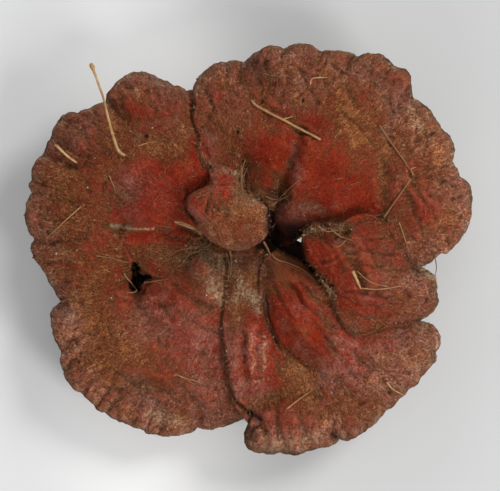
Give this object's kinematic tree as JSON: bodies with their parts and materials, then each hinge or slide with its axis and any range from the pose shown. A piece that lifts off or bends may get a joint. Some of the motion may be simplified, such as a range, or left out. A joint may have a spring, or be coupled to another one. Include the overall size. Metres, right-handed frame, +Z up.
{
  "type": "reishi mushroom",
  "caption": "Wild reishi cluster: broad scalloped caps and a young cap grown together on a short woody stem cut off flat, with dry grass stalks caught in them.",
  "frame": {"origin": "middle of the flat cut under the stem, on the surface that the mushroom rests on", "axes": "+Z up, out of the caps' upper sides; +X towards the small right cap and +Y towards the two upper caps, as in a view from above"},
  "size_m": [0.3021, 0.2791, 0.089],
  "materials": {
    "reishi_cap": "lacquered red-brown skin, dusted with brown spores and soil",
    "reishi_stem": "dark woody bark, satin",
    "grass_straw": "dry straw, matt"
  },
  "bodies": {
    "root": {"stem": "reishi_stem", "cap_upper_left": "reishi_cap", "cap_lower_left": "reishi_cap", "cap_lower_middle": "reishi_cap", "cap_lower_right": "reishi_cap", "cap_right": "reishi_cap", "cap_upper_right": "reishi_cap", "cap_young": "reishi_cap", "grass_stalk_upright": "grass_straw", "grass_stalk_forked": "grass_straw", "grass_stalk_long": "grass_straw", "grass_stalk_outer": "grass_straw", "grass_stalk_inner": "grass_straw"}
  },
  "joints": []
}
